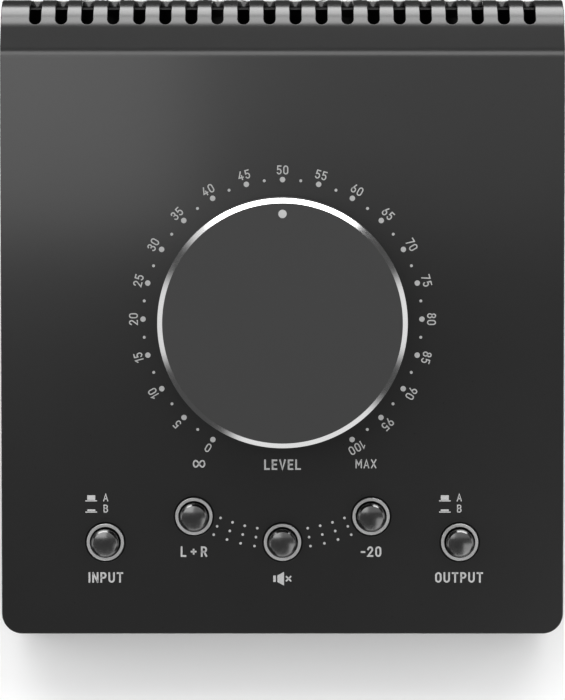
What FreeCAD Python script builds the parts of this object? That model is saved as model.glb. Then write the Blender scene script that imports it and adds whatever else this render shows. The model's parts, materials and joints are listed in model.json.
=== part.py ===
import FreeCAD, Part
import math
import os

from FreeCAD import Placement, Rotation, Vector

# Desk controller for studio monitors: a sloped control panel with a large volume knob and five push
# buttons, on a folded tray with eight 6.35 mm sockets at the back.
# Millimetres. X to the right, Y to the back, Z up. The origin is on the desk, under the middle of the
# whole object's box. Panel places are given as x, u and h: u runs up the slope from the panel's front
# edge, and h stands square to the panel's outer face.

# Cover: one plate, bent twice towards the back
case_width = 130.0
cover_sheet = 1.5
panel_slope = 9.0
panel_length = 133.1
front_height = 24.2
front_corner = 4.75
ridge_radius = 6.5
ridge_turn = 23.3
facet_length = 4.81
rear_radius = 10.9
skirt_drop = 2.6

# Cooling slots over the rear bend
slot_count = 20
slot_pitch = 6.01
slot_width = 2.5
slot_start = 0.9
slot_rise = 0.8

# Tray: folded sheet under the cover
tray_sheet = 1.2
edge_inset = 1.1
cover_gap = 0.2
tray_rear_corner = 2.0
tray_fold = 1.6
inside_corner_least = 0.4

# Rubber feet, in from the tray's outline
foot_height = 3.0
foot_radius = 6.0
foot_taper = 0.7
foot_inset_x = 14.0
foot_inset_front = 22.0
foot_inset_rear = 22.0

# Posts under the cover and the screws that hold the tray to them
post_radius = 3.0
post_inset_x = 7.4
post_inset_front = 11.0
post_inset_rear = 40.0
screw_radius = 1.5
screw_head_radius = 2.8
screw_head_height = 1.9
screw_head_lean = 0.5
base_screw_length = 9.0
thread_gap = 0.05
hole_gap = 0.2

# Volume knob, turned from aluminium over a moulded core
dial_u = 73.0
knob_radius = 28.4
knob_top = 20.0
knob_lift = 1.0
knob_bevel = 1.16
knob_wall = 2.2
knob_roof = 2.5
pointer_radius = 0.95
pointer_reach = 24.8
pointer_depth = 0.5
core_hub_radius = 6.0
core_disc = 1.5
core_rim = 1.5
core_rim_lift = 2.0
core_rib_count = 8
core_rib = 1.6
core_rib_height = 8.0
press_gap = 0.02

# Rotary control under the knob: four stacked gangs behind a threaded bushing
bushing_radius = 4.5
bushing_top = 4.6
bushing_plate = 2.5
pot_width = 22.0
pot_length = 24.0
pot_gang_count = 4
pot_gang_step = 0.5
pot_pin_inset = 2.0
pot_pin_step = 5.0
washer_thickness = 0.6
pot_washer_radius = 7.0
pot_nut_flats = 12.0
pot_nut_height = 2.5
shaft_radius = 3.0
shaft_top = 16.0
shaft_flat = 1.5
shaft_flat_start = 6.0
spindle_radius = 2.0
spindle_gap = 0.3
running_gap = 0.05
clip_radius = 3.5
clip_thickness = 0.5
clip_neck = 1.6
hub_gap = 0.6

# Push buttons
button_places = {
    "source": (-41.0, 21.3),
    "mono": (-20.5, 27.3),
    "mute": (0.0, 21.3),
    "dim": (20.5, 27.3),
    "monitor": (41.0, 21.3),
}
button_travel = 2.5
cap_radius = 3.2
cap_proud = 4.0
cap_drop = 4.6
cap_dome = 0.3
cap_edge = 0.5
cap_socket = 3.6
ring_radius = 4.3
ring_bore = 3.55
ring_proud = 0.4
ring_edge = 0.15
ring_flange_radius = 5.6
ring_flange = 1.0

# Push switches under the buttons
switch_width = 8.5
switch_lid = 1.0
press_room = 0.5
stem_width = 3.0
stem_gap = 0.15
collar_width = 5.2
collar_height = 1.2
collar_gap = 0.2
rest_gap = 0.05
spring_radius = 1.9
spring_wire = 0.4
pin_width = 0.6
pin_gap = 0.15
pin_below = 1.2
switch_pin_x = 2.6
switch_pin_step = 2.5

# Control board, hung parallel to the panel
board = 1.6
board_depth = 16.0
board_side = 14.9
board_start = 12.0
board_rear_gap = 7.6
spacer_flats = 5.5
spacer_bore = 8.0
spacer_inset_front = 4.5
spacer_inset_rear = 5.0
spacer_front_x = 31.0
board_screw_length = 8.0

# Sockets in the rear wall, two rows of four
jack_inset = 21.9
jack_row_low = 8.4
jack_row_step = 14.6
jack_bore = 3.25
jack_bore_length = 29.0
jack_nose_radius = 4.75
jack_nose_out = 4.0
jack_body_width = 15.0
jack_body_height = 13.8
jack_back_wall = 2.0
jack_nut_flats = 12.7
jack_nut_height = 2.4
jack_washer_radius = 6.8
jack_pin_step = 4.0
jack_board_margin = 2.0

# Ribbon between the two boards
ribbon_width = 14.0
ribbon_thickness = 0.9
ribbon_bend = 4.5
ribbon_drop = 2.0
ribbon_run = 2.0
header_width = 17.0
header_depth = 6.0
header_height = 4.5

# How far a cut runs past what it cuts
overrun = 1.0
small = 0.01

rear_heading = -90.0
facet_heading = panel_slope - ridge_turn


def along(angle):
    """Unit step in the side view, angle in degrees above level towards the back."""
    return Vector(0, math.cos(math.radians(angle)), math.sin(math.radians(angle)))


def outward(angle):
    """Unit step square to along(angle), out of the case."""
    return Vector(0, -math.sin(math.radians(angle)), math.cos(math.radians(angle)))


# Places that follow from the sizes above
cover_depth = (
    panel_length * math.cos(math.radians(panel_slope))
    + ridge_radius * (math.sin(math.radians(panel_slope)) - math.sin(math.radians(facet_heading)))
    + facet_length * math.cos(math.radians(facet_heading))
    + rear_radius * (1 + math.sin(math.radians(facet_heading)))
)
wall_back = cover_sheet + cover_gap
overall_depth = cover_depth - wall_back + jack_nose_out
front_y = -overall_depth / 2
front_z = foot_height + front_height
floor_z = foot_height
rear_wall_y = front_y + cover_depth - wall_back
panel_start = Vector(0, front_y, front_z)
panel_frame = Placement(panel_start, Rotation(Vector(1, 0, 0), panel_slope))
tray_half_width = case_width / 2 - edge_inset
tray_front_y = front_y + edge_inset
jack_rows = [floor_z + jack_row_low, floor_z + jack_row_low + jack_row_step]
jack_columns = [(tray_half_width - jack_inset) * share for share in (-1, -1 / 3, 1 / 3, 1)]
jack_body_length = jack_bore_length - jack_nose_out - tray_sheet + jack_back_wall
jack_board_y = rear_wall_y - tray_sheet - jack_body_length
reach = case_width + panel_length
board_top = -board_depth
board_under = board_top - board
board_half_width = tray_half_width - board_side
switch_top = -(cap_drop + button_travel + press_room)
slope_sin = math.sin(math.radians(panel_slope))
slope_cos = math.cos(math.radians(panel_slope))
board_end = (jack_board_y - board - board_rear_gap - front_y + board_under * slope_sin) / slope_cos
header_under = board_under - header_height
ribbon_reach = ribbon_run + ribbon_bend * (1 - slope_sin) + ribbon_drop * slope_sin
header_back = jack_board_y - board - header_height - ribbon_reach
header_u = (header_back - front_y + header_under * slope_sin) / slope_cos
spacer_places = [
    (-spacer_front_x, board_start + spacer_inset_front),
    (spacer_front_x, board_start + spacer_inset_front),
    (spacer_inset_rear - board_half_width, board_end - spacer_inset_rear),
    (board_half_width - spacer_inset_rear, board_end - spacer_inset_rear),
]


def on_panel(shape, x=0.0, u=0.0):
    """A shape made round its own axis, stood on the panel at x and u."""
    placed = shape.copy()
    placed.translate(Vector(x, u, 0))
    placed.Placement = panel_frame.multiply(placed.Placement)
    return placed


def disc(radius, low, high, x=0.0, y=0.0):
    return Part.makeCylinder(radius, high - low, Vector(x, y, low))


def block(width, length, low, high, x=0.0, y=0.0):
    return Part.makeBox(width, length, high - low, Vector(x - width / 2, y - length / 2, low))


def hexagon(flats, low, high):
    reach = flats / math.sqrt(3)
    turns = [math.radians(60 * side) for side in range(7)]
    corners = [Vector(reach * math.cos(turn), reach * math.sin(turn), low) for turn in turns]
    return Part.Face(Part.makePolygon(corners)).extrude(Vector(0, 0, high - low))


def turned(outline):
    """Solid turned about Z from a closed outline of (radius, height) points."""
    points = [Vector(radius, 0, height) for radius, height in outline]
    wire = Part.makePolygon(points + [points[0]])
    return Part.Face(wire).revolve(Vector(0, 0, 0), Vector(0, 0, 1), 360)


def towards_back(shape, x, y, z):
    """A shape made along Z, laid along +Y with its base at the given place."""
    placed = shape.copy()
    placed.Placement = Placement(Vector(x, y, z), Rotation(Vector(1, 0, 0), -90))
    return placed


def save(node, *shapes):
    """One STEP file for a node, holding one solid or a group of like ones."""
    solids = [solid for shape in shapes for solid in shape.Solids]
    whole = solids[0] if len(solids) == 1 else Part.makeCompound(solids)
    if not whole.isValid():
        raise ValueError(node + " is not a valid solid")
    whole.exportStep("parts/" + node + ".step")
    print(node, len(solids), "solids", round(sum(solid.Volume for solid in solids), 1), "mm3")


def side_path(inset, skirt, start_y=None):
    """The cover's side view, moved in by inset: edges from the front to the foot of the skirt."""
    start = panel_start - outward(panel_slope) * inset
    if start_y is not None:
        start = start + along(panel_slope) * ((start_y - start.y) / along(panel_slope).y)
    panel_end = panel_start + along(panel_slope) * panel_length
    ridge_middle = panel_end - outward(panel_slope) * ridge_radius
    facet_start = ridge_middle + outward(facet_heading) * ridge_radius
    facet_end = facet_start + along(facet_heading) * facet_length
    rear_middle = facet_end - outward(facet_heading) * rear_radius
    ridge = ridge_radius - inset
    rear = rear_radius - inset
    first = ridge_middle + outward(panel_slope) * ridge
    second = ridge_middle + outward((panel_slope + facet_heading) / 2) * ridge
    third = ridge_middle + outward(facet_heading) * ridge
    fourth = rear_middle + outward(facet_heading) * rear
    fifth = rear_middle + outward((facet_heading + rear_heading) / 2) * rear
    sixth = rear_middle + outward(rear_heading) * rear
    foot = sixth - Vector(0, 0, skirt)
    edges = [
        Part.makeLine(start, first),
        Part.Arc(first, second, third).toShape(),
        Part.makeLine(third, fourth),
        Part.Arc(fourth, fifth, sixth).toShape(),
        Part.makeLine(sixth, foot),
    ]
    return edges, start, foot, fourth


def across(edges, half_width):
    """Solid across the case from a closed side view."""
    wire = Part.Wire(Part.__sortEdges__(edges))
    face = Part.Face(wire)
    face.translate(Vector(-half_width, 0, 0))
    return face.extrude(Vector(2 * half_width, 0, 0))


def under_cover(inset, start_y):
    """Everything below the cover's plate, moved in by inset."""
    edges, start, foot, _ = side_path(inset, skirt_drop, start_y)
    front_foot = Vector(0, start.y, -small)
    rear_foot = Vector(0, foot.y, -small)
    edges.append(Part.makeLine(foot, rear_foot))
    edges.append(Part.makeLine(rear_foot, front_foot))
    edges.append(Part.makeLine(front_foot, start))
    return across(edges, case_width / 2)


def slot_cutter(facet_end, skirt_top):
    """One slot: round in front, over the bend, and round again in the skirt."""
    radius = slot_width / 2
    front = facet_end.y + slot_start + radius
    bottom = skirt_top + slot_rise
    behind = rear_wall_y + wall_back + small
    below = floor_z + front_height
    round_front = disc(radius, below, reach, 0, front)
    opening = Part.makeBox(slot_width, behind - front, reach - bottom, Vector(-radius, front, bottom))
    inside = rear_wall_y - ridge_radius
    round_foot = towards_back(disc(radius, 0, behind - inside), 0, inside, bottom)
    return round_front.fuse([opening, round_foot])


def top_cover():
    outer, outer_start, outer_foot, facet_end = side_path(0.0, skirt_drop)
    inner, inner_start, inner_foot, _ = side_path(cover_sheet, skirt_drop)
    ends = [Part.makeLine(outer_start, inner_start), Part.makeLine(outer_foot, inner_foot)]
    plate = across(outer + inner + ends, case_width / 2)
    corners = []
    for edge in plate.Edges:
        middle = edge.CenterOfMass
        at_side = abs(abs(middle.x) - case_width / 2) < small
        if at_side and abs(edge.Length - cover_sheet) < small and middle.y < front_y + cover_sheet:
            corners.append(edge)
    plate = plate.makeFillet(front_corner, corners)
    holes = [on_panel(disc(bushing_radius + hole_gap, -reach, reach), 0, dial_u)]
    for x, u in button_places.values():
        holes.append(on_panel(disc(ring_radius + hole_gap, -reach, reach), x, u))
    skirt_top = outer_foot.z + skirt_drop
    cutter = slot_cutter(facet_end, skirt_top)
    for slot in range(slot_count):
        copy = cutter.copy()
        copy.translate(Vector((slot - (slot_count - 1) / 2) * slot_pitch, 0, 0))
        holes.append(copy)
    return plate.cut(holes)


def rounded_outline(half_width, front, rear, front_radius, rear_radius, z):
    """Closed outline seen from above, with its four corners rounded."""
    lean = 1 - math.sqrt(0.5)
    edges = []
    corners = [
        (half_width, front, front_radius, -1, 1),
        (half_width, rear, rear_radius, -1, -1),
        (-half_width, rear, rear_radius, 1, -1),
        (-half_width, front, front_radius, 1, 1),
    ]
    points = []
    for x, y, radius, to_x, to_y in corners:
        beside_x = Vector(x + to_x * radius, y, z)
        beside_y = Vector(x, y + to_y * radius, z)
        middle = Vector(x + to_x * radius * lean, y + to_y * radius * lean, z)
        order = (beside_x, middle, beside_y) if to_x * to_y < 0 else (beside_y, middle, beside_x)
        points.append(order)
    for index, (start, middle, end) in enumerate(points):
        edges.append(Part.Arc(start, middle, end).toShape())
        edges.append(Part.makeLine(end, points[(index + 1) % 4][0]))
    return Part.Face(Part.Wire(edges))


def base_tray():
    front_radius = front_corner - edge_inset
    outline = rounded_outline(
        tray_half_width, tray_front_y, rear_wall_y, front_radius, tray_rear_corner, floor_z
    )
    outside = outline.extrude(Vector(0, 0, reach))
    folds = [edge for edge in outside.Edges if abs(edge.BoundBox.ZMax - floor_z) < small]
    outside = outside.makeFillet(tray_fold, folds)
    inner_front = max(front_radius - tray_sheet, inside_corner_least)
    inner_rear = max(tray_rear_corner - tray_sheet, inside_corner_least)
    hollow = rounded_outline(
        tray_half_width - tray_sheet,
        tray_front_y + tray_sheet,
        rear_wall_y - tray_sheet,
        inner_front,
        inner_rear,
        floor_z + tray_sheet,
    ).extrude(Vector(0, 0, reach))
    tray = outside.common(under_cover(cover_sheet + cover_gap, tray_front_y)).cut(hollow)
    holes = []
    for x, z in jack_places():
        nose_hole = disc(jack_nose_radius + hole_gap, -overrun - tray_sheet, overrun)
        holes.append(towards_back(nose_hole, x, rear_wall_y, z))
    for x, y in post_places():
        holes.append(disc(screw_radius + hole_gap, 0, floor_z + 2 * tray_sheet, x, y))
    return tray.cut(holes)


def mirrored_places(inset_x, inset_front, inset_rear):
    """Four places in from the tray's sides, front and rear, left to right and front to back."""
    x = tray_half_width - inset_x
    front = tray_front_y + inset_front
    rear = rear_wall_y - inset_rear
    return [(-x, front), (x, front), (-x, rear), (x, rear)]


def post_places():
    return mirrored_places(post_inset_x, post_inset_front, post_inset_rear)


def foot_places():
    return mirrored_places(foot_inset_x, foot_inset_front, foot_inset_rear)


def jack_places():
    return [(x, z) for z in jack_rows for x in jack_columns]


def cover_posts():
    """Posts welded under the cover, cut to its slope, standing on the tray's floor."""
    room = under_cover(cover_sheet, tray_front_y)
    floor = floor_z + tray_sheet
    bore_top = floor_z + base_screw_length + press_room
    posts = []
    for x, y in post_places():
        post = disc(post_radius, floor, reach, x, y).common(room)
        posts.append(post.cut(disc(screw_radius + thread_gap, 0, bore_top, x, y)))
    return posts


def pan_screw(length):
    """Pan-head screw along Z, its head below zero and its shank above."""
    shoulder = screw_head_radius - screw_head_lean
    return turned([
        (0, length),
        (screw_radius, length),
        (screw_radius, 0),
        (screw_head_radius, 0),
        (shoulder, -screw_head_height),
        (0, -screw_head_height),
    ])


def base_screws():
    screws = []
    for x, y in post_places():
        screw = pan_screw(base_screw_length)
        screw.translate(Vector(x, y, floor_z))
        screws.append(screw)
    return screws


def foot(x, y):
    pad = turned([
        (0, 0),
        (foot_radius - foot_taper, 0),
        (foot_radius, foot_height),
        (0, foot_height),
    ])
    pad.translate(Vector(x, y, 0))
    return pad


def knob_cap():
    inner = knob_radius - knob_wall
    ceiling = knob_top - knob_roof
    shell = turned([
        (0, ceiling),
        (inner, ceiling),
        (inner, knob_lift),
        (knob_radius, knob_lift),
        (knob_radius, knob_top - knob_bevel),
        (knob_radius - knob_bevel, knob_top),
        (0, knob_top),
    ])
    seat = disc(pointer_radius, knob_top - pointer_depth, knob_top + overrun, 0, pointer_reach)
    return on_panel(shell.cut(seat), 0, dial_u)


def knob_core():
    """Moulded core pressed into the cap: roof disc, rim, ribs and a hub with a flat in its bore."""
    ceiling = knob_top - knob_roof
    outer = knob_radius - knob_wall - press_gap
    hub_low = bushing_top + hub_gap
    roof = disc(outer, ceiling - core_disc, ceiling)
    rim_low = knob_lift + core_rim_lift
    rim = disc(outer, rim_low, ceiling).cut(disc(outer - core_rim, rim_low - overrun, ceiling + overrun))
    hub = disc(core_hub_radius, hub_low, ceiling)
    pieces = [rim, hub]
    for index in range(core_rib_count):
        rib = Part.makeBox(
            outer - core_rim / 2 - core_hub_radius / 2,
            core_rib,
            core_rib_height,
            Vector(core_hub_radius / 2, -core_rib / 2, ceiling - core_rib_height),
        )
        rib.rotate(Vector(0, 0, 0), Vector(0, 0, 1), 360 * index / core_rib_count)
        pieces.append(rib)
    solid = roof.fuse(pieces)
    radius = shaft_radius + press_gap
    bore = shaft_blank(radius, shaft_flat + press_gap, shaft_flat_start, shaft_top + press_gap)
    mouth = disc(radius, hub_low - overrun, shaft_flat_start + press_gap)
    return on_panel(solid.cut([bore, mouth]).removeSplitter(), 0, dial_u)


def shaft_blank(radius, flat, low, high):
    """Round bar with one flat side towards the back."""
    bar = disc(radius, low, high)
    side = block(4 * radius, 2 * radius, low - overrun, high + overrun, 0, flat + radius)
    return bar.cut(side)


def knob_pointer():
    dot = disc(pointer_radius - press_gap, knob_top - pointer_depth, knob_top, 0, pointer_reach)
    return on_panel(dot, 0, dial_u)


def pot_bushing():
    """Threaded bushing and its plate, which seats under the panel."""
    plate = block(pot_width, pot_length, -cover_sheet - bushing_plate, -cover_sheet)
    tube = disc(bushing_radius, -cover_sheet - small, bushing_top)
    bore = disc(shaft_radius + running_gap, -reach, reach)
    return on_panel(plate.fuse(tube).cut(bore).removeSplitter(), 0, dial_u)


def pot_gangs():
    """Stacked wafers between the bushing's plate and the control board."""
    top = -cover_sheet - bushing_plate
    height = (top - board_top) / pot_gang_count
    gangs = []
    for index in range(pot_gang_count):
        high = top - index * height
        low = high - height
        trim = pot_gang_step * (index % 2)
        wafer = block(pot_width - 2 * trim, pot_length - 2 * trim, low, high)
        wafer = wafer.cut(disc(spindle_radius + spindle_gap, low - overrun, high + overrun))
        if index == 0:
            seat = disc(clip_radius + spindle_gap, high - clip_thickness - 2 * spindle_gap, high + overrun)
            wafer = wafer.cut(seat)
        if index == pot_gang_count - 1:
            wafer = wafer.fuse([pin(x, y) for x, y in pot_pin_places()])
        gangs.append(on_panel(wafer, 0, dial_u))
    return gangs


def pot_pin_places():
    rows = [(row - (pot_gang_count - 1) / 2) * pot_pin_step for row in range(pot_gang_count)]
    side = pot_width / 2 - pot_pin_inset
    columns = [-side, switch_pin_step - side, side]
    return [(x, y) for x in columns for y in rows]


def pin(x, y):
    """Square solder pin from a part's base through the control board."""
    return block(pin_width, pin_width, board_under - pin_below, board_top, x, y)


def pot_shaft():
    flat_part = shaft_blank(shaft_radius, shaft_flat, shaft_flat_start, shaft_top)
    round_part = disc(shaft_radius, -cover_sheet - bushing_plate, shaft_flat_start)
    spindle = disc(spindle_radius, board_top + spindle_gap, -cover_sheet - bushing_plate)
    bar = round_part.fuse([flat_part, spindle]).removeSplitter()
    low, high = clip_span()
    groove = disc(spindle_radius + overrun, low, high).cut(disc(clip_neck, low, high))
    return on_panel(bar.cut(groove), 0, dial_u)


def clip_span():
    high = -cover_sheet - bushing_plate - spindle_gap
    return high - clip_thickness, high


def shaft_clip():
    """Open retaining ring in the spindle's groove."""
    low, high = clip_span()
    ring = disc(clip_radius, low, high).cut(disc(clip_neck, low, high))
    mouth = block(2 * clip_neck, 2 * clip_radius, low - overrun, high + overrun, 0, clip_radius)
    return on_panel(ring.cut(mouth), 0, dial_u)


def washer(radius, hole):
    ring = disc(radius, 0, washer_thickness)
    return ring.cut(disc(hole, -overrun, washer_thickness + overrun))


def pot_washer():
    return on_panel(washer(pot_washer_radius, bushing_radius + hole_gap), 0, dial_u)


def pot_nut():
    top = washer_thickness + pot_nut_height
    nut = hexagon(pot_nut_flats, washer_thickness, top)
    return on_panel(nut.cut(disc(bushing_radius + thread_gap, 0, top + overrun)), 0, dial_u)


def button_cap():
    """Domed cap with a square socket for the switch's stem."""
    cap = turned([
        (0, -cap_drop),
        (cap_radius, -cap_drop),
        (cap_radius, cap_proud - cap_edge),
        (cap_radius - cap_edge, cap_proud),
        (0, cap_proud + cap_dome),
    ])
    width = stem_width + 2 * press_gap
    return cap.cut(block(width, width, -cap_drop - overrun, -cap_drop + cap_socket))


def button_ring():
    """Trim ring: stands just proud of the panel, with a flange against its underside."""
    return turned([
        (ring_bore, -cover_sheet - ring_flange),
        (ring_flange_radius, -cover_sheet - ring_flange),
        (ring_flange_radius, -cover_sheet),
        (ring_radius, -cover_sheet),
        (ring_radius, ring_proud),
        (ring_bore + ring_edge, ring_proud),
        (ring_bore, ring_proud - ring_edge),
    ])


def switch_pin_places():
    rows = [-switch_pin_step, 0.0, switch_pin_step]
    return [(x, y) for x in (-switch_pin_x, switch_pin_x) for y in rows]


def switch_body():
    """Housing with a stepped well: a mouth for the stem over a wider room for its collar."""
    shell = block(switch_width, switch_width, board_top, switch_top)
    mouth = stem_width + 2 * stem_gap
    room = collar_width + 2 * collar_gap
    well = block(room, room, board_top + switch_lid, switch_top - switch_lid)
    opening = block(mouth, mouth, switch_top - switch_lid - small, switch_top + overrun)
    pins = [pin(x, y) for x, y in switch_pin_places()]
    return shell.cut([well, opening]).fuse(pins)


def collar_base():
    return switch_top - switch_lid - rest_gap - collar_height


def switch_stem():
    stem = block(stem_width, stem_width, collar_base(), -cap_drop + cap_socket - rest_gap)
    collar = block(collar_width, collar_width, collar_base(), collar_base() + collar_height)
    return stem.fuse(collar).removeSplitter()


def switch_spring():
    """Return spring between the switch's floor and the stem's collar, as the sleeve that it fills."""
    half = spring_wire / 2
    floor = board_top + switch_lid
    sleeve = disc(spring_radius + half, floor, collar_base())
    return sleeve.cut(disc(spring_radius - half, floor - overrun, collar_base() + overrun))


def control_board():
    length = board_end - board_start
    sheet = block(2 * board_half_width, length, board_under, board_top, 0, board_start + length / 2)
    width = pin_width + 2 * pin_gap
    holes = []
    for x, u in button_places.values():
        holes += [(x + dx, u + dy) for dx, dy in switch_pin_places()]
    holes += [(x, dial_u + y) for x, y in pot_pin_places()]
    cuts = [block(width, width, board_under - overrun, board_top + overrun, x, u) for x, u in holes]
    for x, u in spacer_places:
        cuts.append(disc(screw_radius + hole_gap, board_under - overrun, board_top + overrun, x, u))
    return on_panel(sheet.cut(cuts))


def board_spacers():
    spacers = []
    for x, u in spacer_places:
        post = hexagon(spacer_flats, board_top, -cover_sheet)
        bore = disc(screw_radius + thread_gap, board_top - overrun, board_top + spacer_bore)
        spacers.append(on_panel(post.cut(bore), x, u))
    return spacers


def board_screws():
    screws = []
    for x, u in spacer_places:
        screw = pan_screw(board_screw_length)
        screw.translate(Vector(0, 0, board_under))
        screws.append(on_panel(screw, x, u))
    return screws


def jack():
    """Socket along Z: body inside the wall, threaded nose through it, blind bore for the plug."""
    inner = tray_sheet
    body = block(jack_body_width, jack_body_height, -inner - jack_body_length, -inner)
    nose = disc(jack_nose_radius, -inner - small, jack_nose_out)
    pins = []
    for step in (-1, 0, 1):
        low = -inner - jack_body_length - board - pin_below
        high = -inner - jack_body_length + small
        pins.append(block(pin_width, pin_width, low, high, step * jack_pin_step))
    bore = disc(jack_bore, jack_nose_out - jack_bore_length, jack_nose_out + overrun)
    return body.fuse([nose] + pins).cut(bore).removeSplitter()


def jack_board():
    half_width = jack_columns[-1] + jack_body_width / 2 + jack_board_margin
    low = jack_rows[0] - jack_body_height / 2
    high = jack_rows[-1] + jack_body_height / 2
    sheet = Part.makeBox(2 * half_width, board, high - low, Vector(-half_width, jack_board_y - board, low))
    width = pin_width + 2 * pin_gap
    cuts = []
    for x, z in jack_places():
        for step in (-1, 0, 1):
            hole = block(width, width, -2 * board, board, step * jack_pin_step)
            cuts.append(towards_back(hole, x, jack_board_y, z))
    return sheet.cut(cuts)


def jack_washers():
    ring = washer(jack_washer_radius, jack_nose_radius + hole_gap)
    return [towards_back(ring, x, rear_wall_y, z) for x, z in jack_places()]


def jack_nuts():
    thread = disc(jack_nose_radius + thread_gap, -overrun, jack_nut_height + overrun)
    nut = hexagon(jack_nut_flats, 0, jack_nut_height).cut(thread)
    seat = rear_wall_y + washer_thickness
    return [towards_back(nut, x, seat, z) for x, z in jack_places()]


def ribbon_route():
    """Side view of the ribbon: down from the control board, then back to the socket board."""
    down = panel_slope - 90
    start = panel_frame.multVec(Vector(0, header_u, header_under))
    turn_start = start + along(down) * ribbon_drop
    middle = turn_start + outward(down) * ribbon_bend
    turn_end = middle - Vector(0, 0, ribbon_bend)
    return start, turn_start, middle, turn_end, down


def ribbon_cable():
    start, turn_start, middle, turn_end, down = ribbon_route()
    end = Vector(0, jack_board_y - board - header_height, turn_end.z)
    half = ribbon_thickness / 2
    edges = []
    sides = []
    for side in (-half, half):
        radius = ribbon_bend + side
        first = start - outward(down) * side
        second = middle - outward(down) * radius
        halfway = middle - outward(down / 2) * radius
        third = middle - Vector(0, 0, radius)
        last = end - Vector(0, 0, side)
        edges.append(Part.makeLine(first, second))
        edges.append(Part.Arc(second, halfway, third).toShape())
        edges.append(Part.makeLine(third, last))
        sides.append((first, last))
    edges.append(Part.makeLine(sides[0][0], sides[1][0]))
    edges.append(Part.makeLine(sides[0][1], sides[1][1]))
    return across(edges, ribbon_width / 2)


def ribbon_headers():
    upper = block(header_width, header_depth, header_under, board_under)
    _, _, _, turn_end, _ = ribbon_route()
    lower = Part.makeBox(
        header_width,
        header_height,
        header_depth,
        Vector(-header_width / 2, jack_board_y - board - header_height, turn_end.z - header_depth / 2),
    )
    return [on_panel(upper, 0, header_u), lower]


os.makedirs("parts", exist_ok=True)

save("top_cover", top_cover())
save("base_tray", base_tray())
save("cover_posts", *cover_posts())
save("base_screws", *base_screws())
foot_names = ["front_left_foot", "front_right_foot", "rear_left_foot", "rear_right_foot"]
for name, (x, y) in zip(foot_names, foot_places()):
    save(name, foot(x, y))

save("knob_cap", knob_cap())
save("knob_core", knob_core())
save("knob_pointer", knob_pointer())
save("pot_bushing", pot_bushing())
save("pot_gangs", *pot_gangs())
save("pot_shaft", pot_shaft())
save("shaft_clip", shaft_clip())
save("pot_washer", pot_washer())
save("pot_nut", pot_nut())

for name, (x, u) in button_places.items():
    save(name + "_button_cap", on_panel(button_cap(), x, u))
    save(name + "_button_ring", on_panel(button_ring(), x, u))
    save(name + "_switch_body", on_panel(switch_body(), x, u))
    save(name + "_switch_stem", on_panel(switch_stem(), x, u))
    save(name + "_switch_spring", on_panel(switch_spring(), x, u))

save("control_board", control_board())
save("board_spacers", *board_spacers())
save("board_screws", *board_screws())

signals = ["input_a_left", "input_a_right", "input_b_left", "input_b_right"]
signals += ["output_a_left", "output_a_right", "output_b_left", "output_b_right"]
for name, (x, z) in zip(signals, jack_places()):
    save(name + "_jack", towards_back(jack(), x, rear_wall_y, z))
save("jack_washers", *jack_washers())
save("jack_nuts", *jack_nuts())
save("jack_board", jack_board())
save("ribbon_cable", ribbon_cable())
save("ribbon_headers", *ribbon_headers())
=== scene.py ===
import json
import math

import bmesh
import bpy
from mathutils import Matrix, Vector, geometry

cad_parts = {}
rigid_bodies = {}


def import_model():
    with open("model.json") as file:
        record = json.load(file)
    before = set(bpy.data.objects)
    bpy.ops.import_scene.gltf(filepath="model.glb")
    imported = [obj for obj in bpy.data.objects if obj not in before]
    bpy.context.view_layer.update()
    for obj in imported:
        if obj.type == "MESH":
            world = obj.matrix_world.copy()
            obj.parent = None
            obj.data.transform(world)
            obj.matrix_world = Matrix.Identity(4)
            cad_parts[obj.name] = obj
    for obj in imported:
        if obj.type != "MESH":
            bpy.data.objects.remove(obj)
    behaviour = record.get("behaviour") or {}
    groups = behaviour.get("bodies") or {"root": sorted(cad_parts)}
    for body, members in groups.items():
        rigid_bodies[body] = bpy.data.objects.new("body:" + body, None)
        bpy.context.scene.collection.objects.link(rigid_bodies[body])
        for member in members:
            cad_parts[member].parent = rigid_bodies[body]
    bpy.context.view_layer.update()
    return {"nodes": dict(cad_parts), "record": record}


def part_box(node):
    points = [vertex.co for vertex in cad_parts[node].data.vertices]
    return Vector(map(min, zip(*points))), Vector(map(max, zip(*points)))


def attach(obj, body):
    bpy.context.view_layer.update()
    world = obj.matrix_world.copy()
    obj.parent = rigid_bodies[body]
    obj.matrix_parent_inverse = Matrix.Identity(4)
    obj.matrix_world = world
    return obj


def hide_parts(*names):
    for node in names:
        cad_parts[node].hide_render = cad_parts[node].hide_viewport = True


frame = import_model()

mm = 0.001

# The sloped panel: x across, u up the slope from its front edge, h out of its face, all in mm
panel = {
    "slope": 9.0,
    "length": 133.1,
    "sheet": 1.5,
    "halfWidth": 65.0,
    "dialU": 73.0,
}
slope = math.radians(panel["slope"])
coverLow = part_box("top_cover")[0]
panelOrigin = Vector((0, coverLow.y, coverLow.z + panel["sheet"] * mm * math.cos(slope)))
panelFrame = Matrix.Translation(panelOrigin) @ Matrix.Rotation(slope, 4, "X")


def onPanel(x, u, h=0.0):
    return panelFrame @ Matrix.Translation(Vector((x, u, h)) * mm)


def sizes(piece, *names):
    return [piece[name] for name in names]


def inScene(name, data):
    made = bpy.data.objects.new(name, data)
    bpy.context.scene.collection.objects.link(made)
    return made


# Camera: square over the panel, leaning a little to its back, one metre off
camera = {
    "distance": 1.0,
    "aimU": 65.86,
    "lean": 3.31,
    "focalPixels": 4331.0,
    "frameHeight": 700.0,
    "sensor": 36.0,
}


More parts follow.
